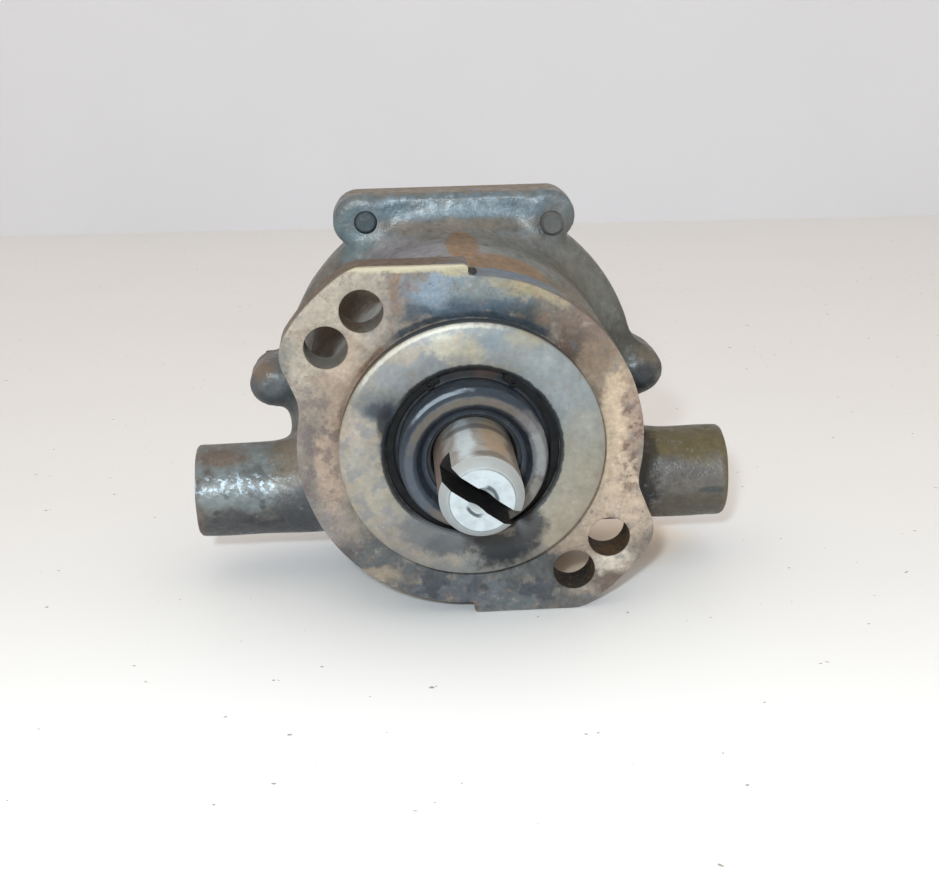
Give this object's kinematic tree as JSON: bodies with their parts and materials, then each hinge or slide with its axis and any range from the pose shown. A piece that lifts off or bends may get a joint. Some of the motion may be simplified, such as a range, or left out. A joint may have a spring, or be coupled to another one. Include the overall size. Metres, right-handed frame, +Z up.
{
  "type": "flange-mounted flexible-impeller pump",
  "caption": "Flange-mounted rotary pump with a round pilot, slotted drive shaft, opposed side ports and a bolted end cover over a rubber impeller.",
  "frame": {"origin": "on the drive shaft's axis, halfway between the shaft's slotted end and the backs of the cover screws", "axes": "Y along the shaft with the slotted end at -Y, X along the line of the two ports, +Z up, away from the ports"},
  "size_m": [0.142, 0.107, 0.101],
  "materials": {
    "painted_casting": "old blue-grey paint, worn to cream and brown dirt",
    "cover_paint": "old blue-grey paint, grimy",
    "paper": "oily brown gasket paper",
    "screw_steel": "dark, slightly rusty steel",
    "dark_steel": "black oxide with grey wear",
    "seal_rubber": "matt black rubber",
    "impeller_rubber": "satin black rubber",
    "bearing_steel": "ground bearing steel",
    "shaft_steel": "turned steel, bright end, brown-stained sides",
    "brass": "dull brass"
  },
  "bodies": {
    "housing": {"pump_body": "painted_casting", "end_cover": "cover_paint", "cover_gasket": "paper", "cover_screw_1": "screw_steel", "cover_screw_2": "screw_steel", "cover_screw_3": "screw_steel", "cover_screw_4": "screw_steel", "cover_screw_5": "screw_steel", "cover_screw_6": "screw_steel", "spring_washer_1": "screw_steel", "spring_washer_2": "screw_steel", "spring_washer_3": "screw_steel", "spring_washer_4": "screw_steel", "spring_washer_5": "screw_steel", "spring_washer_6": "screw_steel", "cam_screw": "screw_steel", "seal_housing": "dark_steel", "bore_snap_ring": "dark_steel", "front_lip_seal": "seal_rubber", "rear_lip_seal": "seal_rubber", "front_bearing_outer_ring": "bearing_steel", "rear_bearing_outer_ring": "bearing_steel", "front_garter_spring": "bearing_steel", "rear_garter_spring": "bearing_steel", "rear_seal_case": "bearing_steel", "wear_plate_dowel": "bearing_steel", "wear_plate": "brass", "cam": "brass"},
    "rotor": {"drive_shaft": "shaft_steel", "shaft_retaining_ring": "dark_steel", "front_bearing_inner_ring": "bearing_steel", "rear_bearing_inner_ring": "bearing_steel", "bearing_spacer": "bearing_steel", "slinger": "seal_rubber", "impeller": "impeller_rubber", "impeller_insert": "brass", "impeller_key": "bearing_steel", "impeller_retaining_ring": "dark_steel", "impeller_plug": "seal_rubber"},
    "front_balls": {"front_bearing_balls": "bearing_steel"},
    "rear_balls": {"rear_bearing_balls": "bearing_steel"}
  },
  "joints": [
    {"name": "shaft_spin", "type": "hinge", "parent": "housing", "child": "rotor", "pos_m": [0, 0, 0], "axis": [0, 1, 0], "continuous": true, "deforming": ["impeller"]},
    {"name": "front_balls_spin", "type": "hinge", "parent": "housing", "child": "front_balls", "pos_m": [0, 0, 0], "axis": [0, 1, 0], "continuous": true},
    {"name": "rear_balls_spin", "type": "hinge", "parent": "housing", "child": "rear_balls", "pos_m": [0, 0, 0], "axis": [0, 1, 0], "continuous": true}
  ],
  "couplings": [
    {"joint": "front_balls_spin", "follows": "shaft_spin", "ratio": 0.41},
    {"joint": "rear_balls_spin", "follows": "shaft_spin", "ratio": 0.41}
  ]
}
